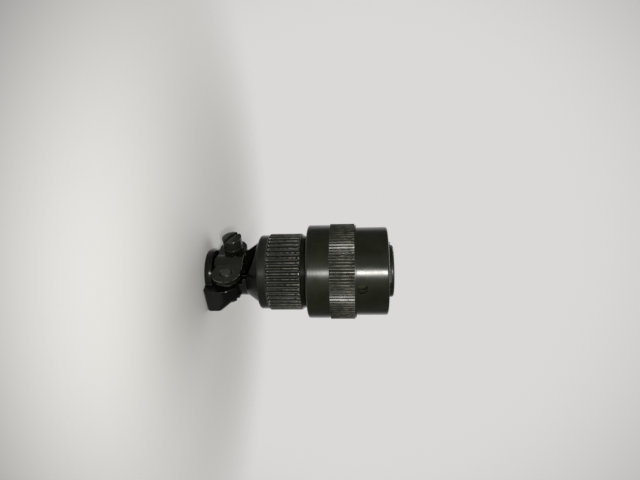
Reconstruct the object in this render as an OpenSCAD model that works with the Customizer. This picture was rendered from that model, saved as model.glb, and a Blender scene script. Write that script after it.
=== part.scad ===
// Bayonet plug connector with a fluted endbell and a two-screw cable clamp.
// Pieces are drawn along X, +X towards the receptacle, with X = 0 at the coupling ring's front face.
// The finished plug stands on its tail, because it would roll on its side: Z is up, with the tail at Z = 0.
// All sizes are in millimetres, and most follow from the barrel's diameter through walls and clearances.

/* [Coupling ring] */
// Length of the coupling ring
ring_len = 17.8; // [17:0.1:20]
// Wall of the ring round the bayonet ramps
ring_front_wall = 2.3; // [2:0.05:2.5]
// Wall of the ring round the bearing
ring_rear_wall = 1.63; // [1.3:0.01:2]
// How far the knurl stands out of the rear band
knurl_proud = 0.22; // [0.1:0.02:0.4]
// Distance of the knurl behind the ring's front face
knurl_back = 7; // [6.8:0.1:8]
// Length of the knurl
knurl_len = 5.75; // [4:0.05:6]
// Number of knurl teeth
knurl_teeth = 96; // [72:4:120]
// Depth of a knurl tooth
knurl_depth = 0.2; // [0.1:0.02:0.4]
// Width of the relief groove at each end of the knurl
relief_w = 0.35; // [0.2:0.05:0.6]
// Room round the barrel for the receptacle's shell
receptacle_room = 1.75; // [1.5:0.05:1.9]
// Depth of the ramp section from the front face
ramp_section = 9; // [8.6:0.1:10]
// Edge radius of the ring
ring_edge = 0.45; // [0.2:0.05:0.6]

/* [Bayonet ramps] */
// Number of ramps
ramp_count = 3; // [2:1:4]
// Turn of one ramp in degrees
ramp_turn = 100; // [60:5:110]
// Depth of the straight entry slot
entry_depth = 2.6; // [2:0.1:3.5]
// Distance of the sight holes behind the front face
sight_back = 5.75; // [5:0.05:6]
// Diameter of a sight hole
sight_d = 2.4; // [2:0.1:2.8]
// Width of the ramp groove
groove_w = 2.2; // [1.8:0.1:2.6]
// Depth of the ramp groove
groove_depth = 1.3; // [0.9:0.05:1.4]
// Angle of the first sight hole, from the top towards -Y
sight_turn = 19.5; // [0:0.5:60]

/* [Plug shell] */
// Outer diameter of the barrel
barrel_d = 11.8; // [11:0.1:13]
// Wall of the barrel
barrel_wall = 0.85; // [0.7:0.05:1]
// How far the barrel stands out of the ring
barrel_proud = 1.25; // [0.8:0.05:2]
// Width of the main key
main_key_w = 3.1; // [2.4:0.1:3.6]
// Width of the other keys
key_w = 1.3; // [0.9:0.1:1.8]
// Height of the keys
key_h = 0.65; // [0.4:0.05:0.7]
// Angle of the main key, from the top towards -Y
main_key_turn = 6; // [0:1:30]
// Thickness of the flange that carries the ring
flange_t = 1.7; // [1.4:0.1:2]
// Step of the bore where the rear insert stops
insert_step_w = 0.59; // [0.4:0.01:0.8]
// Step of the body over the rear thread
thread_step = 0.21; // [0.1:0.01:0.4]
// Length of the rear thread
thread_len = 6.2; // [5:0.1:7]
// Wall of the shell's rear end
rear_wall = 1.5; // [1.3:0.05:1.7]
// Thickness of the shell gasket
gasket_t = 0.8; // [0.6:0.1:0.9]

/* [Ring bearing] */
// Thickness of the wave washer's strip
wave_t = 0.25; // [0.2:0.05:0.35]
// Height of the wave washer
wave_h = 1.2; // [1:0.1:1.4]
// Number of waves
wave_count = 3; // [2:1:5]
// Thickness of the thrust washer
thrust_t = 0.6; // [0.4:0.1:0.8]
// Width of the thrust washer
thrust_w = 1.4; // [1.2:0.05:1.6]
// Thickness of the retaining ring
retainer_t = 0.9; // [0.7:0.1:1.1]
// Depth of the retaining ring's groove
retainer_seat = 0.45; // [0.3:0.05:0.5]

/* [Insert and contacts] */
// Recess of the insert's face in the barrel
face_recess = 0.25; // [0.1:0.05:0.6]
// Distance of the bore's step behind the flange's front
insert_step_back = 0.1; // [0.05:0.05:0.3]
// Length of the rear insert
rear_insert_len = 3.5; // [3.2:0.1:4]
// Number of contacts on the circle round the middle one
contact_ring = 6; // [4:1:6]
// Distance of the contact circle from the barrel's bore
contact_edge = 1.75; // [1.6:0.05:1.9]
// Diameter of a contact's barrel
contact_d = 1.6; // [1.5:0.05:1.7]
// Diameter of the pin that a contact takes
pin_d = 1.02; // [0.9:0.02:1.06]
// Length of the wire grommet
grommet_len = 4.8; // [4:0.1:5]
// Diameter of a wire hole in the grommet
wire_d = 1.5; // [1.2:0.1:1.6]
// Wall of the grommet ferrule
ferrule_wall = 0.9; // [0.7:0.05:1]
// Thickness of the ferrule's flange
ferrule_flange = 0.8; // [0.6:0.1:1]

/* [Endbell] */
// Gap between the ring and the endbell
endbell_gap = 0.4; // [0.3:0.05:0.8]
// Length of the plain collar in front of the flutes
collar_len = 0.8; // [0.3:0.1:1.6]
// Drop of the chamfered collar at its front edge
collar_drop = 0.35; // [0.2:0.05:0.5]
// Length of the flutes
flute_len = 7.65; // [6.5:0.05:8.6]
// How far the flutes' crests stand out of the bands
flute_proud = 0.27; // [0.1:0.01:0.4]
// Number of flutes
flute_count = 46; // [36:2:48]
// Radius of the cutter that makes a flute
flute_cut_r = 0.52; // [0.45:0.01:0.54]
// Depth of a flute
flute_depth = 0.38; // [0.3:0.02:0.42]
// Distance of a flute's round ends from the ends of the crests
flute_inset = 0.1; // [0.05:0.05:0.5]
// Wall of the endbell over its thread
nut_wall = 1.25; // [1.1:0.05:1.5]
// Length of the smooth rear band
band_len = 2.05; // [1.3:0.05:3]
// Width of the flat face behind the rear band
band_face = 1.1; // [1:0.05:1.6]
// Length of the cone
cone_len = 2.95; // [2.5:0.05:3.2]
// Diameter of the neck
neck_d = 10.5; // [10.2:0.1:10.8]
// Step from the thread down to the wire chamber
chamber_step = 0.94; // [0.8:0.02:1.2]
// Wall of the cone, along the axis
cone_wall = 1.9; // [1.6:0.1:2.2]

/* [Cable clamp] */
// Diameter of the cable channel
channel_d = 4.6; // [4:0.1:4.8]
// Turn of the clamp's screws about the plug, from the top towards +Y
clamp_turn = 53.4; // [0:0.2:90]
// Distance of the screws behind the endbell's rear band
screw_back = 7.05; // [7:0.05:7.8]
// Distance of each screw from the plug's axis
screw_off = 4.5; // [4.45:0.05:4.8]
// Diameter of the screws
screw_d = 2.8; // [2.6:0.1:2.8]
// Diameter of a screw head
head_d = 4.5; // [4.4:0.05:4.6]
// Height of a screw head
head_h = 2.7; // [2.2:0.1:2.8]
// Width of the screwdriver slot
slot_w = 0.75; // [0.5:0.05:0.9]
// Depth of the screwdriver slot
slot_depth = 0.95; // [0.6:0.05:1.1]
// Turn of the far screw's slot
slot_turn = 54; // [0:1:180]
// Turn of the near screw's slot
near_slot_turn = 30; // [0:1:180]
// Turn of the slit in the far lock washer
far_slit_turn = 340; // [0:5:355]
// Turn of the slit in the near lock washer
near_slit_turn = 200; // [0:5:355]
// Thickness of a lock washer
lock_t = 0.75; // [0.6:0.05:0.8]
// Thickness of the saddle's ears
ear_t = 1.1; // [0.9:0.05:1.3]
// Radius of the saddle's round ends
ear_r = 3.2; // [3:0.05:3.25]
// Height of the ears' upper face above the plug's axis
ear_top = 3.6; // [3.5:0.05:3.8]
// Height of the saddle's arch above the ears
arch_rise = 0.75; // [0.6:0.05:0.9]
// Height of the jaw's land above the plug's axis
land = 0.75; // [0.6:0.05:0.8]
// Depth of the jaw's bosses below the axis
boss_depth = 5.4; // [5.35:0.05:5.6]
// Radius of the jaw's front corners
boss_r = 4.5; // [4.3:0.05:4.7]
// Setback of the jaw's front corners behind the screws
boss_set = 1.5; // [1.4:0.05:1.6]
// Reach of the jaw from the plug's axis
jaw_reach = 7.9; // [7.8:0.05:8.2]
// Bevel under the jaw's bosses
boss_bevel = 0.6; // [0.4:0.05:0.8]
// Depth of the jaw's front edge below the axis, where its sloping underside starts
brow_depth = 2.4; // [2:0.05:2.8]
// Length of the jaw's deep foot at the tail
foot_len = 3.5; // [3:0.05:3.8]
// Depth of the near screw's head below the axis
near_head_depth = 3.7; // [3.6:0.05:4]
// Setback of the clamp's window behind the endbell's rear band
window_back = 0.6; // [0.5:0.05:0.8]
// Reach of the window past the axis in front of the saddle, on the far side
window_far = 2; // [1.5:0.1:2.5]
// Thickness of the collar at the tail
lip_t = 1.6; // [1.3:0.05:1.8]
// How far the collar at the tail stands out of the neck
lip_proud = 0.1; // [0.05:0.05:0.2]

/* [Fits] */
// Radial clearance of a turning fit
run_clear = 0.06; // [0.03:0.01:0.09]
// Clearance between pieces that seat in each other
seat_clear = 0.05; // [0.02:0.01:0.08]
// Clearance of the moulded inserts in the shell
insert_clear = 0.1; // [0.08:0.01:0.15]
// Clearance of the thrust washer inside and outside
washer_clear = 0.1; // [0.06:0.01:0.15]
// Clearance of a hole round a screw's shank
screw_clear = 0.2; // [0.15:0.01:0.25]
// Clearance between pieces that pass each other
pass_clear = 0.3; // [0.25:0.05:0.4]

/* [Hidden] */
eps = 0.01;
round_fn = 96;
small_fn = 40;
olive = [0.20, 0.21, 0.15];
key_angles = [0, 105, 140, 215, 265];

// Radii across the plug, each set by the one inside it
barrel_bore_r = barrel_d / 2 - barrel_wall;
ring_bore_d = barrel_d + 2 * receptacle_room;
ring_front_d = ring_bore_d + 2 * ring_front_wall;
shell_bore_r = barrel_bore_r + insert_step_w;
thread_d = 2 * (shell_bore_r + rear_wall);
body_d = thread_d + 2 * thread_step;
cavity_d = body_d + 2 * (thrust_w + 2 * washer_clear);
ring_rear_d = cavity_d + 2 * ring_rear_wall;
knurl_d = ring_rear_d + 2 * knurl_proud;
contact_r = barrel_bore_r - contact_edge;
band_d = thread_d + 2 * (nut_wall + run_clear);
flute_d = band_d + 2 * flute_proud;
cone_d = band_d - 2 * band_face;
chamber_d = thread_d - 2 * chamber_step;
lip_d = neck_d + 2 * lip_proud;

// Stations along X, each set by the piece in front of it
nose_x = barrel_proud;
ring_rear_x = -ring_len;
flange_front = -ramp_section - seat_clear;
flange_rear = flange_front - flange_t;
wave_rear = flange_rear - wave_h;
thrust_rear = wave_rear - thrust_t;
retainer_front = thrust_rear - seat_clear;
retainer_rear = retainer_front - retainer_t;
body_rear = retainer_rear - 1.5 * retainer_t;
shell_rear = body_rear - thread_len;
face_x = nose_x - face_recess;
insert_step = flange_front - insert_step_back;
rear_insert_x = insert_step - rear_insert_len;
grommet_rear = rear_insert_x - grommet_len;
ferrule_seat = shell_rear - seat_clear;
ferrule_rear = ferrule_seat - ferrule_flange;
endbell_front = ring_rear_x - endbell_gap;
flute_front = endbell_front - collar_len;
flute_rear = flute_front - flute_len;
band_rear = flute_rear - band_len;
cone_rear = band_rear - cone_len;
screw_x = band_rear - screw_back;
saddle_rear = screw_x - ear_r;
lip_front = saddle_rear - pass_clear;
tail_x = lip_front - lip_t;

// Radii that fits share
flange_r = cavity_d / 2 - run_clear;
retainer_r = cavity_d / 2 + retainer_seat;
contact_flange_r = contact_d / 2 + 0.35;
contact_flange_t = 0.8;
shank_r = screw_d / 2;
tapped_r = shank_r + seat_clear;
free_r = shank_r + screw_clear;
lock_r = head_d / 2;
head_pocket_r = lock_r + screw_clear;

// Levels along the clamp's screws from the plug's axis, and a length that goes through everything there
ear_under = ear_top - ear_t;
far_head = ear_top + lock_t;
pocket_roof = lock_t + head_h - near_head_depth;
saddle_close = ear_under - land - 0.15;
far_tip = land - 2.2;
near_tip = ear_top + 0.3;
clamp_through = band_d;

// Points of an arc round a centre, from one angle to another
function arc(cx, cy, r, from, to, steps) =
    [for (i = [0:steps]) [
        cx + r * cos(from + (to - from) * i / steps),
        cy + r * sin(from + (to - from) * i / steps)
    ]];

// A point on a circle round X, by radius, station and angle from the top towards -Y
function around(r, x, turn) = [x, -r * sin(turn), r * cos(turn)];

// Two triangles between side k of one four-cornered section and the next
function strip(a, b, k) = [
    [b + (k + 1) % 4, b + k, a + k],
    [b + (k + 1) % 4, a + k, a + (k + 1) % 4]
];

// Solid of revolution about X from points given as radius and station
module turned(points, fn = round_fn) {
    rotate([0, 90, 0]) rotate_extrude($fn = fn) polygon(points);
}

// Round bar along X between two stations
module bar(r, from, to, fn = small_fn) {
    translate([from, 0, 0]) rotate([0, 90, 0]) cylinder(r = r, h = to - from, $fn = fn);
}

// Flat ring along X between two stations
module washer(outer, inner, from, to) {
    turned([[inner, from], [outer, from], [outer, to], [inner, to]]);
}

// Stands a piece that was drawn along X on the tail
module stand() {
    translate([0, 0, -tail_x]) rotate([0, -90, 90]) children();
}

// Puts its children in the clamp's frame, with Z along the screws
module in_clamp() {
    rotate([-clamp_turn, 0, 0]) children();
}

// Centres of the contacts, the middle one first
function contact_place(i) =
    i == 0 ? [0, 0] : [contact_r * cos(360 * i / contact_ring), contact_r * sin(360 * i / contact_ring)];

// Repeats its children at every contact
module at_contacts() {
    for (i = [0:contact_ring]) {
        translate([0, contact_place(i)[0], contact_place(i)[1]]) children();
    }
}

// Outline of the knurl: a flat crest and a sharp root for every tooth
module knurl_outline() {
    pitch = 360 / knurl_teeth;
    crest = knurl_d / 2;
    root = crest - knurl_depth;
    polygon([
        for (i = [0:knurl_teeth - 1], p = [[crest, 0.42], [crest, 0.58], [root, 1]])
            p[0] * [cos((i + p[1]) * pitch), sin((i + p[1]) * pitch)]
    ]);
}

// Helical groove that a receptacle's bayonet pin runs along, for cutting
module ramp_cut(start) {
    steps = 10;
    inner = ring_bore_d / 2 - 0.6;
    outer = ring_bore_d / 2 + groove_depth;
    half = groove_w / 2;
    corners = [[inner, -half], [outer, -half], [outer, half], [inner, half]];
    points = [
        for (i = [0:steps], c = corners)
            around(
                c[0], c[1] - entry_depth - (sight_back - entry_depth) * i / steps,
                start + ramp_turn * i / steps
            )
    ];
    sides = [for (i = [0:steps - 1], k = [0:3], half = strip(4 * i, 4 * i + 4, k)) half];
    last = 4 * steps;
    polyhedron(points, concat(sides, [[3, 2, 1, 0]], [[last, last + 1, last + 2, last + 3]]), convexity = 6);
}

// Drill along a radius, for cutting
module radial_drill(turn, x, d, from, to) {
    rotate([turn, 0, 0]) translate([x, 0, from]) cylinder(d = d, h = to - from, $fn = small_fn);
}

// Coupling ring: knurled outside, with bayonet ramps, entry slots and sight holes inside
module coupling_ring() {
    bore_r = ring_bore_d / 2;
    front_r = ring_front_d / 2;
    rear_r = ring_rear_d / 2;
    knurl_rear = -knurl_back - knurl_len;
    relief_r = knurl_d / 2 - 1.4 * knurl_depth;
    entry_len = entry_depth + groove_w / 2 + 0.1;
    entry_w = groove_w + 0.2;
    e = ring_edge;
    color(olive) stand() difference() {
        union() {
            turned(concat(
                [[0, 0]],
                arc(front_r - e, -e, e, 90, 0, 5),
                [[front_r, -knurl_back], [relief_r, -knurl_back], [relief_r, knurl_rear - relief_w],
                 [rear_r, knurl_rear - relief_w]],
                arc(rear_r - e, ring_rear_x + e, e, 0, -90, 5),
                [[0, ring_rear_x]]
            ));
            translate([knurl_rear, 0, 0]) rotate([0, 90, 0])
                linear_extrude(height = knurl_len - relief_w) knurl_outline();
        }
        turned([
            [0, 1], [bore_r + e + 1, 1], [bore_r + e, 0], [bore_r, -e], [bore_r, -ramp_section],
            [cavity_d / 2, -ramp_section], [cavity_d / 2, ring_rear_x - 1], [0, ring_rear_x - 1]
        ]);
        washer(retainer_r + seat_clear, cavity_d / 2 - 1, retainer_rear - seat_clear, retainer_front);
        for (i = [0:ramp_count - 1]) {
            end = sight_turn + 360 * i / ramp_count;
            start = end - ramp_turn;
            ramp_cut(start);
            rotate([start, 0, 0]) translate([-entry_len, -entry_w / 2, bore_r - 0.8])
                cube([entry_len + 1, entry_w, groove_depth + 0.75]);
            radial_drill(end, -sight_back, sight_d, bore_r - 0.8, knurl_d);
        }
    }
}

// Plug shell: keyed barrel, bearing flange and rear thread in one turned piece
module plug_shell() {
    barrel_r = barrel_d / 2;
    thread_r = thread_d / 2;
    tip = 0.25;
    key_rear = flange_front + gasket_t + seat_clear;
    color(olive) stand() {
        difference() {
            turned([
                [0, nose_x], [barrel_r - tip, nose_x], [barrel_r, nose_x - tip], [barrel_r, flange_front],
                [flange_r, flange_front], [flange_r, flange_rear], [body_d / 2, flange_rear],
                [body_d / 2, body_rear], [thread_r, body_rear - (body_d / 2 - thread_r)],
                [thread_r, shell_rear + tip], [thread_r - tip, shell_rear], [0, shell_rear]
            ]);
            turned([
                [0, nose_x + 1], [barrel_bore_r, nose_x + 1], [barrel_bore_r, insert_step],
                [shell_bore_r, insert_step], [shell_bore_r, shell_rear - 1], [0, shell_rear - 1]
            ]);
        }
        for (i = [0:len(key_angles) - 1]) {
            width = i == 0 ? main_key_w : key_w;
            rotate([main_key_turn + key_angles[i], 0, 0])
                translate([key_rear, -width / 2, barrel_r - barrel_wall / 2])
                    cube([nose_x - 0.6 - key_rear, width, key_h + barrel_wall / 2]);
        }
    }
}

// Gasket that the receptacle's rim presses on the flange
module shell_gasket() {
    color([0.09, 0.09, 0.09]) stand()
        washer(
            ring_bore_d / 2 - pass_clear, barrel_d / 2 + seat_clear,
            flange_front, flange_front + gasket_t
        );
}

// Wave washer that pulls the ring back on its flange
module wave_washer() {
    steps = 72;
    inner = body_d / 2 + 0.2;
    outer = flange_r - 0.2;
    swing = (wave_h - wave_t) / 2 - seat_clear;
    middle = (flange_rear + wave_rear) / 2;
    corners = [[inner, -0.5], [outer, -0.5], [outer, 0.5], [inner, 0.5]];
    points = [
        for (i = [0:steps - 1], c = corners)
            around(c[0], middle + swing * cos(wave_count * 360 * i / steps) + c[1] * wave_t, 360 * i / steps)
    ];
    faces = [for (i = [0:steps - 1], k = [0:3], half = strip(4 * i, 4 * ((i + 1) % steps), k)) half];
    color([0.55, 0.55, 0.55]) stand() polyhedron(points, faces, convexity = 6);
}

// Flat washer between the wave washer and the retaining ring
module thrust_washer() {
    color([0.55, 0.55, 0.55]) stand()
        washer(cavity_d / 2 - washer_clear, body_d / 2 + washer_clear, thrust_rear, wave_rear);
}

// Open retaining ring, sprung into the coupling ring's groove
module retaining_ring() {
    gap = 4;
    color([0.45, 0.45, 0.45]) stand() difference() {
        washer(retainer_r, cavity_d / 2 - 2 * retainer_seat, retainer_rear, retainer_front);
        translate([retainer_rear - 1, -gap / 2, 0]) cube([retainer_t + 2, gap, retainer_r + 1]);
    }
}

// Front half of the insert, with a chamfered mouth for every pin
module front_insert() {
    mouth = pin_d / 2 + 0.12;
    lip = 0.8;
    color([0.12, 0.12, 0.11]) stand() difference() {
        turned([
            [0, insert_step], [barrel_bore_r - insert_clear, insert_step],
            [barrel_bore_r - insert_clear, face_x - 0.2],
            [barrel_bore_r - insert_clear - 0.2, face_x], [0, face_x]
        ]);
        at_contacts() {
            bar(mouth, face_x - lip - eps, face_x + 1);
            bar(contact_d / 2 + seat_clear, insert_step - 1, face_x - lip);
        }
    }
}

// Rear half of the insert, which traps the contacts' shoulders
module rear_insert() {
    color([0.12, 0.12, 0.11]) stand() difference() {
        bar(shell_bore_r - insert_clear, rear_insert_x, insert_step, round_fn);
        at_contacts() {
            bar(contact_d / 2 + seat_clear, rear_insert_x - 1, insert_step + 1);
            bar(contact_flange_r + seat_clear, insert_step - contact_flange_t - seat_clear, insert_step + 1);
        }
    }
}

// One socket contact: slit spring barrel, shoulder and solder cup
module contact(i) {
    front = face_x - 0.8 - seat_clear;
    rear = rear_insert_x + 0.4;
    slit = 0.22;
    slit_len = 3.4;
    cup = contact_d / 2 - 0.25;
    cup_depth = 2.6;
    color([0.78, 0.62, 0.28]) stand() translate([0, contact_place(i)[0], contact_place(i)[1]]) difference() {
        union() {
            bar(contact_d / 2, rear, front);
            bar(contact_flange_r, insert_step - contact_flange_t, insert_step - eps);
        }
        bar(pin_d / 2, front - 5.5, front + 1);
        bar(cup, rear - 1, rear + cup_depth);
        translate([front - slit_len, -slit / 2, -contact_d]) cube([slit_len + 1, slit, 2 * contact_d]);
        translate([rear - 1, -contact_d, 0.1]) cube([1 + 0.6 * cup_depth, 2 * contact_d, contact_d]);
    }
}

// Rubber grommet that seals the wires
module wire_grommet() {
    color([0.10, 0.10, 0.10]) stand() difference() {
        bar(shell_bore_r - insert_clear, grommet_rear, rear_insert_x, round_fn);
        at_contacts() {
            bar(wire_d / 2, grommet_rear - 1, rear_insert_x + 1);
        }
    }
}

// Flanged sleeve through which the endbell presses the grommet
module grommet_ferrule() {
    sleeve = shell_bore_r - insert_clear;
    color([0.30, 0.30, 0.28]) stand() turned([
        [sleeve - ferrule_wall, grommet_rear], [sleeve, grommet_rear], [sleeve, ferrule_seat],
        [thread_d / 2 - pass_clear, ferrule_seat], [thread_d / 2 - pass_clear, ferrule_rear],
        [sleeve - ferrule_wall, ferrule_rear]
    ]);
}

// Round-ended cutter of one flute, laid along X
module flute_cut() {
    r = flute_cut_r;
    turned(concat(
        arc(0, flute_front - flute_inset - r, r, 90, 0, 3),
        arc(0, flute_rear + flute_inset + r, r, 0, -90, 3)
    ), small_fn);
}

// Outer form of the endbell in front of the clamp, with the flutes cut round it
module endbell_shell() {
    band_r = band_d / 2;
    crest = flute_d / 2;
    step = crest - band_r;
    edge = 0.4;
    difference() {
        turned(concat(
            [[0, endbell_front], [band_r - collar_drop, endbell_front],
             [band_r, flute_front], [crest, flute_front - step],
             [crest, flute_rear + step], [band_r, flute_rear]],
            arc(band_r - edge, band_rear + edge, edge, 0, -90, 4),
            [[cone_d / 2, band_rear], [neck_d / 2, cone_rear], [neck_d / 2, tail_x], [0, tail_x]]
        ));
        for (i = [0:flute_count - 1]) {
            rotate([360 * (i + 0.5) / flute_count, 0, 0])
                translate([0, 0, crest - flute_depth + flute_cut_r]) flute_cut();
        }
    }
}

// Plan of the jaw: wide round corners towards the cone and squarer ones at the tail
module jaw_plan() {
    tail_r = 1;
    for (side = [-1, 1]) {
        intersection() {
            translate([screw_x - boss_set, side * (jaw_reach - boss_r)]) circle(r = boss_r, $fn = 48);
            translate([tail_x, -jaw_reach]) square([2 * boss_r, 2 * jaw_reach]);
        }
        translate([tail_x + tail_r, side * (jaw_reach - tail_r)]) circle(r = tail_r, $fn = 32);
    }
}

// Plan of the jaw's deep foot at the tail
module foot_plan(inset) {
    corner_r = 1;
    for (side = [-1, 1]) {
        for (x = [tail_x, tail_x + foot_len - 2 * corner_r]) {
            translate([x + corner_r, side * (jaw_reach - inset - corner_r)]) circle(r = corner_r, $fn = 32);
        }
    }
}

// Cast jaw under the cable: its underside slopes from the front edge down to the bevelled foot
module jaw() {
    hull() {
        translate([0, 0, -brow_depth]) linear_extrude(height = brow_depth + land) jaw_plan();
        translate([0, 0, boss_bevel - boss_depth]) linear_extrude(height = eps) foot_plan(0);
        translate([0, 0, -boss_depth]) linear_extrude(height = eps) foot_plan(boss_bevel);
    }
}

// Outline of the window over the cable: open to both sides at the saddle, walled on the far side before it
module window_outline() {
    straight = screw_x + ear_r + 0.15;
    half = band_d / 2;
    front = band_rear - window_back;
    near = neck_d / 2 - 0.45;
    squareness = 0.7;
    corner = 0.6;
    steps = 12;
    polygon(concat(
        [[lip_front, half], [lip_front, -half], [straight, -half]],
        [for (i = [0:steps]) [
            straight + (front - straight) * pow(sin(90 * i / steps), squareness),
            -near * pow(cos(90 * i / steps), squareness)
        ]],
        [[front, window_far - corner], [front - corner, window_far], [straight, window_far], [straight, half]]
    ));
}

// Endbell: fluted nut end, cone, neck with the fixed jaw and the collar at the tail
module endbell() {
    channel_r = channel_d / 2;
    lip_r = lip_d / 2;
    lip_round = lip_t / 2.5;
    bell = 0.9;
    chamber_r = chamber_d / 2;
    chamber_rear = band_rear + cone_wall;
    throat = cone_rear + 0.85 * cone_wall;
    color(olive) stand() difference() {
        union() {
            difference() {
                union() {
                    endbell_shell();
                    turned(concat(
                        [[0, lip_front]], arc(lip_r - lip_round, lip_front - lip_round, lip_round, 90, 0, 4),
                        arc(lip_r - lip_round, tail_x + lip_round, lip_round, 0, -90, 4), [[0, tail_x]]
                    ));
                }
                in_clamp() translate([0, 0, land]) linear_extrude(height = clamp_through) window_outline();
            }
            in_clamp() jaw();
        }
        turned([
            [0, endbell_front + 1], [thread_d / 2 + run_clear, endbell_front + 1],
            [thread_d / 2 + run_clear, ferrule_rear], [chamber_r, ferrule_rear], [chamber_r, chamber_rear],
            [channel_r, throat], [channel_r, tail_x + bell], [channel_r + bell, tail_x],
            [channel_r + bell, tail_x - 1], [0, tail_x - 1]
        ]);
        in_clamp() {
            translate([screw_x, screw_off, far_tip - saddle_close - 0.4])
                cylinder(r = tapped_r, h = clamp_through, $fn = small_fn);
            translate([screw_x, -screw_off, -boss_depth - 1])
                cylinder(r = free_r, h = clamp_through, $fn = small_fn);
            translate([screw_x, -screw_off, -boss_depth - 1])
                cylinder(r = head_pocket_r, h = pocket_roof + boss_depth + 1, $fn = small_fn);
        }
    }
}

// Section of the saddle across the plug: two flat ears and an arch over the cable
module saddle_section() {
    half = screw_off + ear_r;
    outer = channel_d / 2 + 0.6;
    inner = outer - ear_t + 0.1;
    crown = ear_top + arch_rise - outer;
    outer_end = asin((ear_top - crown) / outer);
    inner_end = asin((ear_under - crown) / inner);
    polygon(concat(
        [[half, ear_under], [half, ear_top]],
        arc(0, crown, outer, outer_end, 180 - outer_end, 14),
        [[-half, ear_top], [-half, ear_under]],
        arc(0, crown, inner, 180 - inner_end, inner_end, 14)
    ));
}

// Clamp saddle: arched strap with a plain hole at the far screw and a tapped one at the near screw
module clamp_saddle() {
    color(olive) stand() in_clamp() difference() {
        intersection() {
            translate([saddle_rear, 0, 0]) rotate([90, 0, 90])
                linear_extrude(height = 2 * ear_r) saddle_section();
            union() {
                for (side = [-1, 1]) {
                    translate([screw_x, side * screw_off, 0])
                        cylinder(r = ear_r, h = clamp_through, $fn = small_fn);
                }
                translate([saddle_rear, -screw_off, 0]) cube([2 * ear_r, 2 * screw_off, clamp_through]);
            }
        }
        translate([screw_x, screw_off, 0]) cylinder(r = free_r, h = clamp_through, $fn = small_fn);
        translate([screw_x, -screw_off, 0]) cylinder(r = tapped_r, h = clamp_through, $fn = small_fn);
    }
}

// Slotted cheese-head screw standing head up, its seat at Z = 0 and its tip at the given depth
module clamp_screw(depth, turn) {
    crown = 0.35;
    head_r = head_d / 2;
    tip = 0.3;
    color([0.25, 0.25, 0.22]) difference() {
        rotate_extrude($fn = small_fn) polygon([
            [0, -depth], [shank_r - tip, -depth], [shank_r, tip - depth], [shank_r, 0], [head_r, 0],
            [head_r, head_h - crown], [0.93 * head_r, head_h - 0.5 * crown],
            [0.75 * head_r, head_h - 0.15 * crown],
            [0.4 * head_r, head_h], [0, head_h]
        ]);
        rotate([0, 0, turn]) translate([-head_d, -slot_w / 2, head_h - slot_depth])
            cube([2 * head_d, slot_w, slot_depth + 1]);
    }
}

// Split spring washer, its lower face at Z = 0 and its slit at the given turn
module lock_washer(turn) {
    slit = 0.45;
    color([0.35, 0.35, 0.32]) difference() {
        cylinder(r = lock_r, h = lock_t, $fn = small_fn);
        translate([0, 0, -1]) cylinder(r = free_r, h = lock_t + 2, $fn = small_fn);
        rotate([0, 0, turn]) translate([0, -slit / 2, -1]) cube([head_d, slit, lock_t + 2]);
    }
}

// Far screw, through the saddle into the jaw
module far_screw() {
    stand() in_clamp() translate([screw_x, screw_off, far_head]) clamp_screw(far_head - far_tip, slot_turn);
}

module far_lock_washer() {
    stand() in_clamp() translate([screw_x, screw_off, ear_top]) lock_washer(far_slit_turn);
}

// Near screw, from under the jaw into the saddle, its head in the boss
module near_screw() {
    stand() in_clamp() translate([screw_x, -screw_off, pocket_roof - lock_t]) rotate([180, 0, 0])
        clamp_screw(near_tip - pocket_roof + lock_t, near_slot_turn);
}

module near_lock_washer() {
    stand() in_clamp() translate([screw_x, -screw_off, pocket_roof - lock_t]) lock_washer(near_slit_turn);
}

coupling_ring();
plug_shell();
shell_gasket();
wave_washer();
thrust_washer();
retaining_ring();
front_insert();
rear_insert();
contact(0);  // contact_1
contact(1);  // contact_2
contact(2);  // contact_3
contact(3);  // contact_4
contact(4);  // contact_5
contact(5);  // contact_6
contact(6);  // contact_7
wire_grommet();
grommet_ferrule();
endbell();
clamp_saddle();
far_screw();
far_lock_washer();
near_screw();
near_lock_washer();
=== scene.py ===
# %% [markdown]
# # A bayonet plug connector, dressed on its CAD frame
# The plug stands on its tail: a small cable clamp with two screws, a fluted endbell and a knurled
# coupling ring on top. The imported CAD model is loaded first and stays where it is. This lesson adds
# what CAD leaves plain: real screw threads, sprung lock washers and the worn olive finish of the metal,
# with painted glints on crests and rims and painted light inside the ring.

import math

import bpy
import numpy as np
from mathutils import Matrix, Vector


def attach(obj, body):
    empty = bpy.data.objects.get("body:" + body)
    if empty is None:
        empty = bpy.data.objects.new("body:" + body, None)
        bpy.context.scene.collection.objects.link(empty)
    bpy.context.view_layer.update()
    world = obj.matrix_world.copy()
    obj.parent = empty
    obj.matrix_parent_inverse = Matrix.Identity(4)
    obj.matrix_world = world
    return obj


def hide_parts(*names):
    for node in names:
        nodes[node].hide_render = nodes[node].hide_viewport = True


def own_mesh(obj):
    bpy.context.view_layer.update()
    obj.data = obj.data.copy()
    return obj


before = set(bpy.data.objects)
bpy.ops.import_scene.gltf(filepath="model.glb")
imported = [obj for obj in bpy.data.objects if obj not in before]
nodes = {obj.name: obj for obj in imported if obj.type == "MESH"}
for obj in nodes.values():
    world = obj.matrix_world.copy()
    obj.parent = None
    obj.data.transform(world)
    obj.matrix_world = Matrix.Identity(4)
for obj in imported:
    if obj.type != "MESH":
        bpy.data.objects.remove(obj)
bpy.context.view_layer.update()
MM = 0.001

# %% [markdown]
# ## Where the clamp's screws stand
# The clamp is turned about the plug, so its screws lean. One matrix carries any shape from a screw's
# own frame, where Z runs along the screw and Z = 0 is the face it seats on, to the frame of the part.
# Writing the turn once keeps the threads on the CAD axis.

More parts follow.
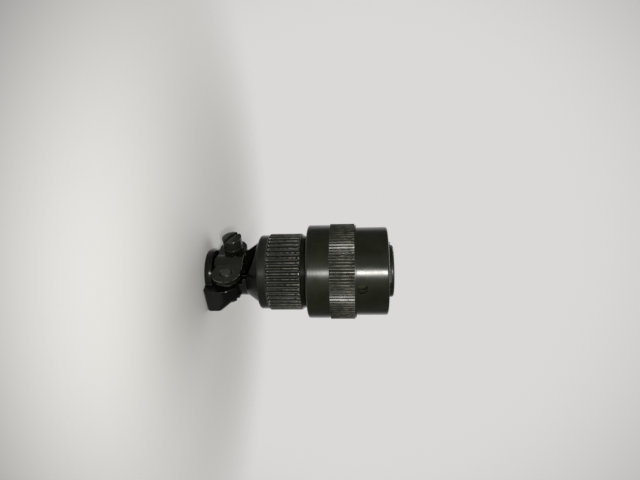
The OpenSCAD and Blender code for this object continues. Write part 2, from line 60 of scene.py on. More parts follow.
# %% Screw frames
CLAMP_TURN = math.radians(53.4)
SCREW_UP = 5.1
SCREW_OFF = 4.5
LOCK_T = 0.75
FAR_EAR = 3.6
NEAR_ROOF = -0.25

ALONG = np.array([-math.sin(CLAMP_TURN), -math.cos(CLAMP_TURN), 0.0])
ACROSS = np.array([-math.cos(CLAMP_TURN), math.sin(CLAMP_TURN), 0.0])
FORWARD = np.array([0.0, 0.0, 1.0])


def screw_frame(side, level, flip):
    """Columns are the screw's X, Y and Z, and its seat: level along the screw and side across it."""
    sign = -1.0 if flip else 1.0
    origin = SCREW_UP * FORWARD + side * SCREW_OFF * ACROSS + level * ALONG
    return np.column_stack([FORWARD, sign * ACROSS, sign * ALONG, origin])


def to_part(points, place):
    """Points in a screw's frame, in millimetres, as metres in the frame of the part."""
    return (points @ place[:, :3].T + place[:, 3]) * MM


FAR_WASHER = screw_frame(1, FAR_EAR, False)
FAR_HEAD = screw_frame(1, FAR_EAR + LOCK_T, False)
NEAR_WASHER = screw_frame(-1, NEAR_ROOF, True)
NEAR_HEAD = screw_frame(-1, NEAR_ROOF - LOCK_T, True)
print("far head seat at", np.round(FAR_HEAD[:, 3], 2), "mm")

# %% [markdown]
# ## Meshes from arrays
# A surface is a grid of points: rows run one way over it and columns the other. Quads join neighbouring
# points, and a grid that closes on itself wraps its last column to the first. numpy makes all the
# corners at once, so no Python loop runs over vertices.

# %% Grid helpers
def grid_faces(rows, cols, start=0, wrap=False):
    """Quads of a rows by cols grid, numbered row by row from start; wrap closes the columns to a ring."""
    last = cols if wrap else cols - 1
    r, c = np.meshgrid(np.arange(rows - 1), np.arange(last), indexing="ij")
    nxt = (c + 1) % cols
    quads = np.stack([r * cols + c, r * cols + nxt, (r + 1) * cols + nxt, (r + 1) * cols + c], axis=-1)
    return quads.reshape(-1, 4) + start


def put_mesh(name, points, faces, body, replaces):
    """Makes one object from whole arrays, which rides on a CAD body in the place of a CAD node."""
    mesh = bpy.data.meshes.new(name)
    mesh.from_pydata(points.tolist(), [], [list(f) for f in faces])
    mesh.validate()
    obj = bpy.data.objects.new(name, mesh)
    bpy.context.scene.collection.objects.link(obj)
    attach(obj, body)
    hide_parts(replaces)
    print(name, len(points), "points", len(faces), "faces")
    return obj


# %% [markdown]
# ## The screws
# A cheese-head screw has a slightly crowned head with a milled slot, and a shank with a cut thread. The
# head is drawn as chords: lines that cross a disc side by side, so two of them can run exactly along
# the slot's edges. The shank is a cylinder whose radius follows a trimmed triangle wave, climbing one
# pitch for every turn. A boolean cut would give the same slot, but chords keep the mesh clean.

# %% Screw shapes
HEAD_R = 2.25
HEAD_H = 2.7
HEAD_CROWN = 0.35
SLOT_W = 0.75
SLOT_DEPTH = 0.95
SLOT_BREAK = 0.06
CHORDS_A_SIDE = 14
CHORD_POINTS = 25
LAST_CHORD = math.radians(88.5)
SHANK_R = 1.4
THREAD_DEPTH = 0.27
THREAD_PITCH = 0.635
THREAD_GAIN = 1.3
THREAD_ROOT = 0.12
TIP = 0.3
INTO_HEAD = 0.3
FAR_DEPTH = 5.8
NEAR_DEPTH = 4.9
FAR_SLOT_TURN = 54
NEAR_SLOT_TURN = 30


def turn_flat(points, degrees):
    """Points turned about Z by an angle."""
    c, s = math.cos(math.radians(degrees)), math.sin(math.radians(degrees))
    return points @ np.array([[c, s, 0], [-s, c, 0], [0, 0, 1]])


def head_shape(slot_turn):
    """Chords x = const with y = v * sqrt(R^2 - x^2); top = H - crown * rho^4 with rho = sqrt(x^2 + y^2) / R,
    and flat in the slot. The whole is laid so that the slot runs along X, then turned."""
    half, edge = SLOT_W / 2, SLOT_W / 2 + SLOT_BREAK
    side = HEAD_R * np.sin(np.linspace(math.asin(edge / HEAD_R), LAST_CHORD, CHORDS_A_SIDE))
    xs = np.concatenate([-side[::-1], [-half, -half, half, half], side])
    in_slot = np.zeros(len(xs), bool)
    middle = len(side)
    in_slot[[middle + 1, middle + 2]] = True
    broken = np.zeros(len(xs), bool)
    broken[[middle, middle + 3]] = True
    v = np.linspace(-1, 1, CHORD_POINTS)
    x = np.repeat(xs[:, None], len(v), axis=1)
    y = v[None, :] * np.sqrt(HEAD_R**2 - x**2)
    rho = np.sqrt(x**2 + y**2) / HEAD_R
    top = HEAD_H - HEAD_CROWN * rho**4 - SLOT_BREAK * broken[:, None]
    top = np.where(in_slot[:, None], HEAD_H - SLOT_DEPTH, top)
    return turn_flat(np.stack([y, -x, top], axis=-1), slot_turn)


def head_mesh(slot_turn):
    """The head as a closed prism: the chord grid on top, walls from its rim and the same grid flat below."""
    top = head_shape(slot_turn)
    rows, cols = top.shape[:2]
    under = top.copy()
    under[..., 2] = 0.0
    points = np.concatenate([top.reshape(-1, 3), under.reshape(-1, 3)])
    number = np.arange(rows * cols).reshape(rows, cols)
    rim = np.concatenate([number[0, :-1], number[:-1, -1], number[-1, :0:-1], number[:0:-1, 0]])
    nxt = np.roll(rim, -1)
    below = rows * cols
    walls = np.stack([rim, nxt, nxt + below, rim + below], axis=-1)
    faces = np.concatenate([grid_faces(rows, cols), grid_faces(rows, cols, below)[:, ::-1], walls[:, ::-1]])
    return points, faces


def thread_mesh(depth):
    """Radius = R - thread depth * (1 - crest), at most the tip's chamfer; crest = clip(gain * wave - root,
    0, 1) and wave = |2 frac(z / pitch - turn) - 1|. Fans close both ends."""
    around, per_pitch = 48, 10
    rows = int(depth / THREAD_PITCH * per_pitch)
    z = np.linspace(INTO_HEAD, -depth, rows)[:, None]
    turn = np.arange(around)[None, :] / around
    wave = np.abs(2 * ((z / THREAD_PITCH - turn) % 1.0) - 1)
    crest = np.clip(THREAD_GAIN * wave - THREAD_ROOT, 0, 1)
    major = np.minimum(SHANK_R, SHANK_R - TIP + np.maximum(z + depth, 0))
    radius = np.minimum(SHANK_R - THREAD_DEPTH * (1 - crest), major)
    angle = 2 * np.pi * turn
    shell = np.stack([radius * np.cos(angle), radius * np.sin(angle), z + 0 * angle], axis=-1).reshape(-1, 3)
    caps = np.array([[0, 0, INTO_HEAD], [0, 0, -depth]])
    ring = np.arange(around)
    nxt = (ring + 1) % around
    end = (rows - 1) * around
    first = np.stack([ring, nxt, np.full(around, len(shell))], axis=-1)
    last = np.stack([end + nxt, end + ring, np.full(around, len(shell) + 1)], axis=-1)
    faces = grid_faces(rows, around, wrap=True)[:, ::-1].tolist() + first.tolist() + last.tolist()
    return np.concatenate([shell, caps]), faces


def screw_piece(name, place, depth, slot_turn, body, replaces):
    """Head and threaded shank as one piece in the place of the CAD screw."""
    head, head_faces = head_mesh(slot_turn)
    shank, shank_faces = thread_mesh(depth)
    points = to_part(np.concatenate([head, shank]), place)
    faces = head_faces.tolist() + [[i + len(head) for i in f] for f in shank_faces]
    return put_mesh(name, points, faces, body, replaces)


# %% Place the screws
far_screw = screw_piece("far_screw_cut", FAR_HEAD, FAR_DEPTH, FAR_SLOT_TURN, "far_screw", "far_screw")
near_screw = screw_piece(
    "near_screw_cut", NEAR_HEAD, NEAR_DEPTH, NEAR_SLOT_TURN, "near_screw", "near_screw"
)

# %% [markdown]
# ## The lock washers
# A lock washer is a turn of square wire, cut through and sprung apart like a short helix, so one end
# stands up against the screw head and the other bites the ear. It is a rectangle carried round a circle
# while it climbs. A Screw modifier could sweep it too, but here both cut ends are closed in the same
# array.

# %% Lock washers
WASHER_IN = 1.6
WASHER_STRIP = 0.56
WASHER_SLIT = 13
WASHER_LIFT = 0.17
WASHER_CORNER = 0.07
FAR_SLIT_TURN = -20
NEAR_SLIT_TURN = 160


def washer_mesh(slit_turn):
    """A rectangle with broken outer corners, carried round from slit to slit and raised by lift * share."""
    steps, c = 72, WASHER_CORNER
    share = np.linspace(0, 1, steps)[:, None]
    angle = np.radians(slit_turn + WASHER_SLIT / 2 + (360 - WASHER_SLIT) * share)
    low, high, a, b = 0.0, WASHER_STRIP, WASHER_IN, HEAD_R
    section = np.array([[a, low], [b - c, low], [b, low + c], [b, high - c], [b - c, high], [a, high]])
    r, z = section[None, :, 0], section[None, :, 1] + WASHER_LIFT * share
    points = np.stack([r * np.cos(angle), r * np.sin(angle), z], axis=-1).reshape(-1, 3)
    n = len(section)
    ends = [list(range(n)), list(range((steps - 1) * n, steps * n))[::-1]]
    return points, grid_faces(steps, n, wrap=True)[:, ::-1].tolist() + ends


def washer_piece(name, place, slit_turn, body, replaces):
    """A sprung washer in the place of the CAD one."""
    points, faces = washer_mesh(slit_turn)
    return put_mesh(name, to_part(points, place), faces, body, replaces)


far_washer = washer_piece("far_washer_sprung", FAR_WASHER, FAR_SLIT_TURN, "saddle", "far_lock_washer")
near_washer = washer_piece("near_washer_sprung", NEAR_WASHER, NEAR_SLIT_TURN, "plug", "near_lock_washer")

# %% [markdown]
# ## Finish helpers
# Every finish is a Principled shader fed by masks. The masks come from node groups, which are built
# once and used with different values: lathe marks that run round the plug, wear and painted glints on
# whatever stands furthest from the axis, wear, painted glints and rounding along edges, and a soft mottle
# of the coating. They read Object coordinates, so a pattern stays on its piece when it moves.

# %% Node helpers
def new_group(name, inputs, outputs):
    """A node group with float inputs as (name, default) and float outputs by name."""
    tree = bpy.data.node_groups.new(name, "ShaderNodeTree")
    for label, default in inputs:
        socket = tree.interface.new_socket(label, in_out="INPUT", socket_type="NodeSocketFloat")
        socket.default_value = default
    for label in outputs:
        tree.interface.new_socket(label, in_out="OUTPUT", socket_type="NodeSocketFloat")
    return tree, tree.nodes.new("NodeGroupInput"), tree.nodes.new("NodeGroupOutput")


def math_node(tree, operation, first, second=None):
    """A Math node on two values, each a socket or a number; returns its result."""
    node = tree.nodes.new("ShaderNodeMath")
    node.operation = operation
    for socket, value in zip(node.inputs, (first, second)):
        if isinstance(value, bpy.types.NodeSocket):
            tree.links.new(value, socket)
        elif value is not None:
            socket.default_value = value
    return node.outputs[0]


def fade(tree, value, low, high):
    """0 at low, 1 at high and smooth between, also where high is the lesser; sockets or numbers."""
    node = tree.nodes.new("ShaderNodeMapRange")
    node.interpolation_type = "SMOOTHSTEP"
    for name, source in (("Value", value), ("From Min", low), ("From Max", high)):
        if isinstance(source, bpy.types.NodeSocket):
            tree.links.new(source, node.inputs[name])
        else:
            node.inputs[name].default_value = source
    return node.outputs["Result"]


def noise(tree, vector, scale, detail=3.0, dimensions="3D", w=None):
    """Noise on a vector, or along one value w; returns its Fac."""
    node = tree.nodes.new("ShaderNodeTexNoise")
    node.noise_dimensions = dimensions
    node.inputs["Detail"].default_value = detail
    for name, source in (("Scale", scale), ("Vector", vector), ("W", w)):
        if isinstance(source, bpy.types.NodeSocket):
            tree.links.new(source, node.inputs[name])
        elif source is not None:
            node.inputs[name].default_value = source
    return node.outputs["Fac"]


def plug_coordinates(tree):
    """The Object position, its Z along the plug and its distance from the plug's axis."""
    place = tree.nodes.new("ShaderNodeTexCoord").outputs["Object"]
    split = tree.nodes.new("ShaderNodeSeparateXYZ")
    tree.links.new(place, split.inputs[0])
    x2 = math_node(tree, "MULTIPLY", split.outputs["X"], split.outputs["X"])
    y2 = math_node(tree, "MULTIPLY", split.outputs["Y"], split.outputs["Y"])
    return place, split.outputs["Z"], math_node(tree, "SQRT", math_node(tree, "ADD", x2, y2))


# %% [markdown]
# ## Lathe marks
# The ring, the shell and the endbell are turned on a lathe, so fine grooves run round them. A picture
# of grooves would need a UV map. Noise along Z alone gives one value to every point at a height, which
# makes each mark a ring.

# %% Lathe marks
def make_lathe_marks():
    """Height = mean of coarse and fine noise along Z, so every mark is a ring round the plug."""
    tree, given, out = new_group("lathe_marks", [("Coarse", 1600.0), ("Fine", 7000.0)], ["Height"])
    _, z, _ = plug_coordinates(tree)
    coarse = noise(tree, None, 1.0, 1.0, "1D", math_node(tree, "MULTIPLY", z, given.outputs["Coarse"]))
    fine = noise(tree, None, 1.0, 1.0, "1D", math_node(tree, "MULTIPLY", z, given.outputs["Fine"]))
    mean = math_node(tree, "MULTIPLY", math_node(tree, "ADD", coarse, fine), 0.5)
    tree.links.new(mean, out.inputs["Height"])
    return tree


LATHE_MARKS = make_lathe_marks()
print("group", LATHE_MARKS.name)

# %% [markdown]
# ## Rubbed crests and painted glints
# Fingers turn the plug by its knurl and flutes, and the coating goes from the crests first. It could be
# painted on by hand, but the distance from the axis already tells a crest from a groove, and a noise
# breaks the wear into patches. Towards the front end the crests grow paler still: that share is a
# painted glint, where the lamp's highlight falls on the crests.

# %% Wear on what stands out
REAR_SHARE = 0.3
CREST_PATCH = (0.35, 0.62)


def make_crest_wear_and_glint():
    """Mask = fade(distance from the axis, start, full) * (rest + (1 - rest) * fade(Z, rear, front)) * noise,
    with rest = REAR_SHARE: crests rubbed in patches, and paler towards the front end as painted glints."""
    inputs = [("Start", 0.0105), ("Full", 0.0108), ("Rear", 0.0), ("Front", 0.001), ("Patch Scale", 900.0)]
    tree, given, out = new_group("crest_wear_and_glint", inputs, ["Mask"])
    place, z, radius = plug_coordinates(tree)
    reach = fade(tree, radius, given.outputs["Start"], given.outputs["Full"])
    # Painted glint: the front-end share makes the crests paler where the lamp's highlight falls.
    lead = fade(tree, z, given.outputs["Rear"], given.outputs["Front"])
    share = math_node(tree, "ADD", math_node(tree, "MULTIPLY", lead, 1.0 - REAR_SHARE), REAR_SHARE)
    patch = fade(tree, noise(tree, place, given.outputs["Patch Scale"]), *CREST_PATCH)
    mask = math_node(tree, "MULTIPLY", math_node(tree, "MULTIPLY", reach, share), patch)
    tree.links.new(mask, out.inputs["Mask"])
    return tree


CREST_WEAR_AND_GLINT = make_crest_wear_and_glint()
print("group", CREST_WEAR_AND_GLINT.name)

# %% [markdown]
# ## Rubbed edges and painted glints
# Machined edges are never quite sharp, and they lose their coating early. The CAD meshes stay as they
# are, so the Bevel node rounds the normal near an edge in the shading, and how far that normal leans
# marks where the edge is. The paler colour laid there is rubbed coating, and on the saddle and the
# screws also painted glints.

# %% Wear along edges
EDGE_PATCH = (0.42, 0.6)
EDGE_SAMPLES = 8


def make_edge_wear_and_glint():
    """Normal = the surface's normal rounded over within a radius of an edge; Mask = fade(1 - rounded . flat,
    start, full) times a noise, so an edge takes a paler colour in places: rubbed coating and painted glints."""
    inputs = [("Radius", 0.00016), ("Start", 0.02), ("Full", 0.22), ("Patch Scale", 1300.0)]
    tree, given, out = new_group("edge_wear_and_glint", inputs, ["Mask"])
    tree.interface.new_socket("Normal", in_out="OUTPUT", socket_type="NodeSocketVector")
    bevel = tree.nodes.new("ShaderNodeBevel")
    bevel.samples = EDGE_SAMPLES
    tree.links.new(given.outputs["Radius"], bevel.inputs["Radius"])
    compare = tree.nodes.new("ShaderNodeVectorMath")
    compare.operation = "DOT_PRODUCT"
    tree.links.new(bevel.outputs["Normal"], compare.inputs[0])
    tree.links.new(tree.nodes.new("ShaderNodeNewGeometry").outputs["Normal"], compare.inputs[1])
    lean = math_node(tree, "SUBTRACT", 1.0, compare.outputs["Value"])
    reach = fade(tree, lean, given.outputs["Start"], given.outputs["Full"])
    place, _, _ = plug_coordinates(tree)
    patch = fade(tree, noise(tree, place, given.outputs["Patch Scale"]), *EDGE_PATCH)
    tree.links.new(math_node(tree, "MULTIPLY", reach, patch), out.inputs["Mask"])
    tree.links.new(bevel.outputs["Normal"], out.inputs["Normal"])
    return tree


EDGE_WEAR_AND_GLINT = make_edge_wear_and_glint()
print("group", EDGE_WEAR_AND_GLINT.name)

# %% [markdown]
# ## Mottle
# A coating isn't even. A slow noise mixes two tones over a piece, and a fine noise gives the grain that
# breaks up its gloss. Both sit in one group, because every finish uses both.

# %% Mottle of a coating
TONE_SPREAD = (0.3, 0.7)


def make_mottle():
    """Tone = slow noise over the piece; Grain = fine noise, for the bump of a dull coating."""
    inputs = [("Patch Scale", 260.0), ("Grain Scale", 6000.0)]
    tree, given, out = new_group("mottle", inputs, ["Tone", "Grain"])
    place, _, _ = plug_coordinates(tree)
    tone = fade(tree, noise(tree, place, given.outputs["Patch Scale"], 4.0), *TONE_SPREAD)
    tree.links.new(tone, out.inputs["Tone"])
    tree.links.new(noise(tree, place, given.outputs["Grain Scale"], 2.0), out.inputs["Grain"])
    return tree


MOTTLE = make_mottle()
print("group", MOTTLE.name)

# %% [markdown]
# ## Putting a finish together
# A finish starts from two tones that the mottle mixes, then a third colour where the coating is rubbed.
# Roughness drops where metal is rubbed smooth, edges are rubbed in places, and one bump adds the lathe
# marks and the grain. The paler crests and edges are partly painted glints, and a lighter olive inside
# the ring and on the shell under it, where the sight hole shows them, is painted light.

# %% Finish builder
# Painted light: a lighter olive inside the ring and on the shell under it, where the sight hole shows them.
OLIVE_PAINTED_LIGHT = (0.044, 0.049, 0.030)
GRAIN_DEPTH = 0.000004
MOTTLE_ROUGH = 0.08
MARK_ROUGH = 0.06
MARK_STRETCH = 0.6
MARK_TURN = 0.25
SATIN_ROUGH = 0.08
SATIN_FADE = 0.0003
DULL_DARK = (0.0165, 0.0172, 0.0150)
DULL_LIGHT = (0.0200, 0.0208, 0.0180)
DULL_METAL = 0.82


def colour_mix(tree, factor, first, second):
    """Mixes two colours by a mask; each colour is a socket or a tuple."""
    node = tree.nodes.new("ShaderNodeMix")
    node.data_type = "RGBA"
    tree.links.new(factor, node.inputs["Factor"])
    for socket, value in zip(node.inputs[6:8], (first, second)):
        if isinstance(value, bpy.types.NodeSocket):
            tree.links.new(value, socket)
        else:
            socket.default_value = (*value, 1.0)
    return node.outputs[2]


def use_group(tree, group, **values):
    """Places a group and sets its inputs; an underscore in a name stands for a space."""
    node = tree.nodes.new("ShaderNodeGroup")
    node.node_tree = group
    for name, value in values.items():
        node.inputs[name.replace("_", " ")].default_value = value
    return node


def blank_finish(name, metallic, specular=0.5):
    """A material with a Principled shader, its constants on the shader's own sockets."""
    material = bpy.data.materials.new(name)
    material.use_nodes = True
    tree = material.node_tree
    shader = tree.nodes["Principled BSDF"]
    shader.inputs["Metallic"].default_value = metallic
    shader.inputs["Specular IOR Level"].default_value = specular
    return material, tree, shader


def finish(
    name, dark, light, metallic, rough, edge, edge_r=0.00016, wear=None, worn_and_glint=None, worn_rough=0.2,
    marks=None, specular=0.5, satin=None, dull=None, painted_lit=None, soft=None,
):
    """Colour = mix(mix(mix(dark, light, mottle), crest colour, crest mask), edge, edge mask), with a lighter
    olive as painted light inside the ring and under it; crest and edge colours are rubbed coating and painted
    glints;
    roughness falls on rubbed crests and rises in the satin zone; below the dull heights it is dark and partly
    metal; bump = marks and grain on the normal that the edge mask rounds over, more so below the soft height."""
    material, tree, shader = blank_finish(name, metallic, specular)
    mottle = use_group(tree, MOTTLE)
    colour = colour_mix(tree, mottle.outputs["Tone"], dark, light)
    _, z, radius = plug_coordinates(tree)
    # Painted light: the lighter olive stands in for lamp light inside the ring and the sight hole.
    if painted_lit:
        along, plain_at, painted_at = painted_lit
        painted_lit_mask = fade(tree, {"z": z, "radius": radius}[along], plain_at, painted_at)
        colour = colour_mix(tree, painted_lit_mask, colour, OLIVE_PAINTED_LIGHT)
    varied = math_node(tree, "MULTIPLY", mottle.outputs["Tone"], MOTTLE_ROUGH)
    roughness = math_node(tree, "ADD", varied, rough - MOTTLE_ROUGH / 2)
    # Crest colour: rubbed coating, and painted glints towards the front end.
    if wear:
        mask = use_group(tree, CREST_WEAR_AND_GLINT, **wear).outputs["Mask"]
        colour = colour_mix(tree, mask, colour, worn_and_glint)
        fall = math_node(tree, "MULTIPLY", mask, worn_rough - rough)
        roughness = math_node(tree, "ADD", roughness, fall)
    if dull:
        matt_below, bright_above = dull
        matt = fade(tree, z, bright_above, matt_below)
        dull_tone = colour_mix(tree, mottle.outputs["Tone"], DULL_DARK, DULL_LIGHT)
        colour = colour_mix(tree, matt, colour, dull_tone)
        tree.links.new(math_node(tree, "MULTIPLY", matt, DULL_METAL), shader.inputs["Metallic"])
    rub = use_group(tree, EDGE_WEAR_AND_GLINT, Radius=edge_r)
    if soft:
        soft_below, fine_above, soft_r = soft
        rounder = math_node(tree, "MULTIPLY", fade(tree, z, fine_above, soft_below), soft_r - edge_r)
        tree.links.new(math_node(tree, "ADD", rounder, edge_r), rub.inputs["Radius"])
    # Edge colour: rubbed coating, and painted glints where it is bright, as on the saddle and the screws.
    colour = colour_mix(tree, rub.outputs["Mask"], colour, edge)
    height = math_node(tree, "MULTIPLY", mottle.outputs["Grain"], GRAIN_DEPTH)
    if marks:
        ring = use_group(tree, LATHE_MARKS).outputs["Height"]
        height = math_node(tree, "ADD", height, math_node(tree, "MULTIPLY", ring, marks))
        roughness = math_node(tree, "ADD", roughness, math_node(tree, "MULTIPLY", ring, MARK_ROUGH))
        grooves = tree.nodes.new("ShaderNodeTangent")
        grooves.direction_type = "RADIAL"
        grooves.axis = "Z"
        shader.inputs["Anisotropic"].default_value = MARK_STRETCH
        shader.inputs["Anisotropic Rotation"].default_value = MARK_TURN
        tree.links.new(grooves.outputs["Tangent"], shader.inputs["Tangent"])
    if satin:
        low, high = satin
        above, below = fade(tree, z, low, low + SATIN_FADE), fade(tree, z, high, high - SATIN_FADE)
        zone = math_node(tree, "MULTIPLY", above, below)
        roughness = math_node(tree, "ADD", roughness, math_node(tree, "MULTIPLY", zone, SATIN_ROUGH))
    bump = tree.nodes.new("ShaderNodeBump")
    bump.inputs["Distance"].default_value = 1.0
    tree.links.new(height, bump.inputs["Height"])
    tree.links.new(rub.outputs["Normal"], bump.inputs["Normal"])
    tree.links.new(bump.outputs["Normal"], shader.inputs["Normal"])
    tree.links.new(colour, shader.inputs["Base Color"])
    tree.links.new(roughness, shader.inputs["Roughness"])
    print("finish", name)
    return material


def dress(material, *names):
    """Gives CAD nodes a finish."""
    for name in names:
        nodes[name].data.materials.clear()
        nodes[name].data.materials.append(material)


# %% [markdown]
# ## Olive metal
# The ring and the shell have a satin olive coating, and the endbell and the saddle look darker. Full
# metal would mirror the room, so the coatings are dark and not metallic, with paler tones where they
# are rubbed; the paler crests, and the saddle's pale rims, are also painted glints. The endbell's tail
# has less gloss: there a dark, partly metallic base does it.

# %% Olive metal
OLIVE_DARK = (0.0074, 0.0092, 0.0038)
OLIVE_LIGHT = (0.0120, 0.0142, 0.0066)
CAST_DARK = (0.0045, 0.0055, 0.0026)
CAST_LIGHT = (0.0078, 0.0092, 0.0048)
# Paler crest and edge colours: rubbed coating and bare metal, and also painted glints.
OLIVE_WORN_AND_GLINT = (0.125, 0.125, 0.102)
OLIVE_EDGE = (0.060, 0.060, 0.046)
BARE_METAL_AND_GLINT = (0.19, 0.19, 0.16)

# Ring: knurl crests paler from rubbing and, towards the front, from painted glints; a lighter olive inside
# the ring is painted light.
ring_olive = finish(
    "ring_olive", OLIVE_DARK, OLIVE_LIGHT, metallic=0.0, rough=0.25, edge=OLIVE_EDGE, edge_r=0.00008,
    wear=dict(Start=0.01068, Full=0.01079, Rear=0.0285, Front=0.0325), worn_and_glint=OLIVE_WORN_AND_GLINT, worn_rough=0.16,
    marks=0.000004, satin=(0.0280, 0.0340), painted_lit=("radius", 0.0095, 0.0088),
)
# Endbell: bare specks on the flute crests are rubbed metal and painted glints, most at the front end.
endbell_olive = finish(
    "endbell_olive", CAST_DARK, CAST_LIGHT, metallic=0.0, rough=0.20, edge=OLIVE_EDGE, edge_r=0.0001,
    wear=dict(Start=0.00858, Full=0.00872, Rear=0.0165, Front=0.0215, Patch_Scale=1500.0),
    worn_and_glint=BARE_METAL_AND_GLINT, worn_rough=0.13, marks=0.000003, specular=0.55,
    dull=(0.0118, 0.0138), soft=(0.0140, 0.0143, 0.0004),
)
# Shell: the lighter olive below the ring's front is painted light, seen through the sight hole.
shell_olive = finish(
    "shell_olive", OLIVE_DARK, OLIVE_LIGHT, metallic=0.0, rough=0.37, edge=OLIVE_EDGE,
    marks=0.000004, painted_lit=("z", 0.0400, 0.0385),
)
# Saddle: the bright edge colour paints glints on its rims, besides rubbed metal.
saddle_olive = finish(
    "saddle_olive", CAST_DARK, CAST_LIGHT, metallic=0.0, rough=0.15, edge=BARE_METAL_AND_GLINT, edge_r=0.0003,
    specular=0.2,
)
dress(ring_olive, "coupling_ring")
dress(endbell_olive, "endbell")
dress(shell_olive, "plug_shell")
dress(saddle_olive, "clamp_saddle")

# %% [markdown]
# ## The other materials
# The clamp's screws and lock washers are dark plated steel, the springs inside are bright, and rubber,
# insulator and gold contacts fill the shell. The same builder makes them all, so each is two tones, a
# roughness and an edge colour.

# %% Steel, rubber, insulator and gold
# Screws: the bright edge colour paints glints on the head's rim and slot edges, besides rubbed plating.
screw_steel = finish(
    "screw_steel", (0.016, 0.0165, 0.013), (0.036, 0.036, 0.029), metallic=0.5, rough=0.2,
    edge=(0.17, 0.17, 0.145), edge_r=0.0003,
)
spring_steel = finish(
    "spring_steel", (0.28, 0.28, 0.27), (0.36, 0.36, 0.35), metallic=0.9, rough=0.3,
    edge=(0.52, 0.52, 0.50),
)
black_rubber = finish(
    "black_rubber", (0.012, 0.012, 0.012), (0.02, 0.02, 0.02), metallic=0.0, rough=0.7,
    edge=(0.04, 0.04, 0.04),
)
insert_plastic = finish(
    "insert_plastic", (0.016, 0.016, 0.015), (0.024, 0.024, 0.022), metallic=0.0, rough=0.55,
    edge=(0.055, 0.055, 0.051),
)
contact_gold = finish(
    "contact_gold", (0.62, 0.42, 0.14), (0.74, 0.52, 0.2), metallic=1.0, rough=0.25,
    edge=(0.86, 0.68, 0.34),
)
for piece in (far_screw, near_screw, far_washer, near_washer):
    piece.data.materials.append(screw_steel)
dress(screw_steel, "far_screw", "near_screw", "far_lock_washer", "near_lock_washer")
dress(spring_steel, "wave_washer", "thrust_washer", "retaining_ring")
dress(black_rubber, "shell_gasket", "wire_grommet")
dress(insert_plastic, "front_insert", "rear_insert", "grommet_ferrule")
dress(contact_gold, *[f"contact_{i}" for i in range(1, 8)])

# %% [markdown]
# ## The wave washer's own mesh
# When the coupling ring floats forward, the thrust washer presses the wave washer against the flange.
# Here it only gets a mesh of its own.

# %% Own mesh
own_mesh(nodes["wave_washer"])

# %% [markdown]
# ## Floor
# The plug stands on pale paper. A large plane would show its far edge in the picture, so the floor is a
# disc that fades to clear towards its rim and runs out into the pale surround.

# %% Floor
FLOOR_R = 0.085
FLOOR_SOLID = 0.015
FLOOR_STEPS = 96
PAPER = (0.82, 0.82, 0.80, 1.0)
PAPER_ROUGH = 0.9
PAPER_SHINE = 0.2


def make_floor():
    """A disc r * (cos a, sin a) at Z = 0, its paper fading to clear from the solid radius to the rim."""
    a = np.linspace(0, 2 * np.pi, FLOOR_STEPS + 1)[:-1]
    rim = np.stack([FLOOR_R * np.cos(a), FLOOR_R * np.sin(a), 0 * a], axis=-1)
    mesh = bpy.data.meshes.new("floor")
    mesh.from_pydata(rim.tolist(), [], [list(range(len(a)))])
    obj = bpy.data.objects.new("floor", mesh)
    bpy.context.scene.collection.objects.link(obj)
    material, tree, shader = blank_finish("floor_paper", 0.0, PAPER_SHINE)
    shader.inputs["Base Color"].default_value = PAPER
    shader.inputs["Roughness"].default_value = PAPER_ROUGH
    _, _, radius = plug_coordinates(tree)
    clear = fade(tree, radius, FLOOR_SOLID, FLOOR_R)
    tree.links.new(math_node(tree, "SUBTRACT", 1.0, clear), shader.inputs["Alpha"])
    mesh.materials.append(material)
    return obj


floor = make_floor()
print(floor.name, "radius", FLOOR_R)

# %% [markdown]
# ## Lamps
# The photo has a small lamp beside the camera, so a cylinder shows one bright line and dark sides. A
# sun lamp would draw that line too hard, so square area lamps are used. An overhead softbox and a lamp
# high up behind light the other sides.

# %% Lamps
def area_light(name, place, aim, size, power, colour=(1.0, 1.0, 1.0)):
    """A square lamp at a place, turned to face a point."""
    lamp = bpy.data.lights.new(name, "AREA")
    lamp.size = size
    lamp.energy = power
    lamp.color = colour
    obj = bpy.data.objects.new(name, lamp)
    obj.location = place
    obj.rotation_mode = "QUATERNION"
    obj.rotation_quaternion = (Vector(aim) - Vector(place)).to_track_quat("-Z", "Y")
    bpy.context.scene.collection.objects.link(obj)
    return obj


PLUG_MIDDLE = (0.0, 0.0, 0.022)
KEY_AIM = (0.0, 0.0, 0.03)
KEY_WHITE = (1.0, 0.985, 0.93)
lamps = [
    area_light("key", (0.0025, -0.115, 0.0404), KEY_AIM, size=0.010, power=0.095, colour=KEY_WHITE),
    area_light("overhead", (0.0, 0.02, 0.32), PLUG_MIDDLE, size=0.25, power=0.09),
    area_light("behind", (-0.04, 0.16, 0.22), PLUG_MIDDLE, size=0.16, power=0.17),
]
print("lamps", [lamp.name for lamp in lamps])

# %% [markdown]
# ## Surround
# Gloss shows what is around the plug. One grey all round would flatten the metal, so the world is
# bright behind the plug, dim to the sides and half bright behind the camera.

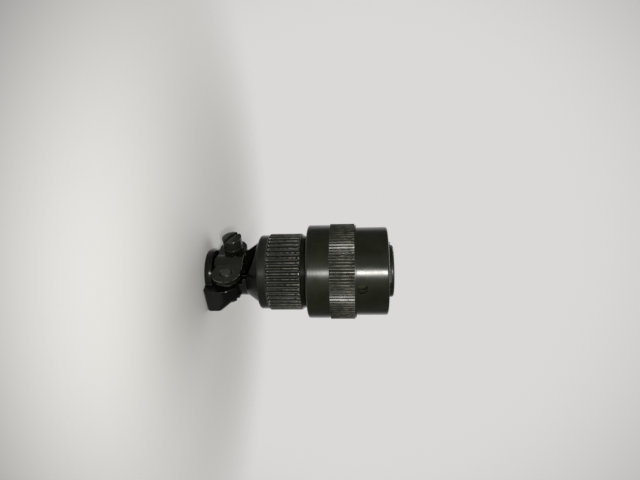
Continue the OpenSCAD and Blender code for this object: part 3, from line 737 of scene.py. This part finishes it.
# %% Surround
PALE = 0.70
DIM = 0.12
BACK = 0.34
PALE_FADE = (0.60, 0.93)
BACK_FADE = (-0.55, -0.9)
WARM_WHITE = (1.0, 0.99, 0.97, 1.0)


def make_surround():
    """Strength by direction: DIM to the sides, rising to PALE behind the plug and BACK behind the camera."""
    world = bpy.data.worlds.new("paper_surround")
    world.use_nodes = True
    tree = world.node_tree
    split = tree.nodes.new("ShaderNodeSeparateXYZ")
    tree.links.new(tree.nodes.new("ShaderNodeTexCoord").outputs["Generated"], split.inputs[0])
    ahead = math_node(tree, "MULTIPLY", fade(tree, split.outputs["Y"], *PALE_FADE), PALE - DIM)
    back = math_node(tree, "MULTIPLY", fade(tree, split.outputs["Y"], *BACK_FADE), BACK - DIM)
    strength = math_node(tree, "ADD", math_node(tree, "ADD", ahead, back), DIM)
    sky = tree.nodes["Background"]
    sky.inputs["Color"].default_value = WARM_WHITE
    tree.links.new(strength, sky.inputs["Strength"])
    return world


bpy.context.scene.world = make_surround()
print("surround", bpy.context.scene.world.name)

# %% [markdown]
# ## Camera
# The photo looks nearly square at the plug's side. The camera's place, dip and roll were fitted to the
# outline. A tracking constraint would hide the roll, so a matrix is built from the view's own
# directions, with the plug's axis across the picture.

# %% Camera
LENS = 28.125
DIP = math.radians(4.0)
ROLL = math.radians(0.75)
CAMERA_AT = (-0.00719, -0.1147, 0.03365)
camera_data = bpy.data.cameras.new("camera")
camera_data.lens = LENS
camera_data.sensor_width = 36.0
camera_data.clip_start = 0.005
camera_data.clip_end = 10.0
camera = bpy.data.objects.new("camera", camera_data)
look = Vector((0.0, math.cos(DIP), -math.sin(DIP)))
level_right = Vector((0.0, math.sin(DIP), math.cos(DIP)))
level_up = Vector((-1.0, 0.0, 0.0))
right = math.cos(ROLL) * level_right - math.sin(ROLL) * level_up
up = math.sin(ROLL) * level_right + math.cos(ROLL) * level_up
turn = Matrix((right, up, -look)).transposed()
camera.matrix_world = Matrix.Translation(CAMERA_AT) @ turn.to_4x4()
bpy.context.scene.collection.objects.link(camera)
bpy.context.scene.camera = camera
bpy.context.scene.view_settings.view_transform = "Standard"
print("camera at", tuple(round(c, 4) for c in camera.location))
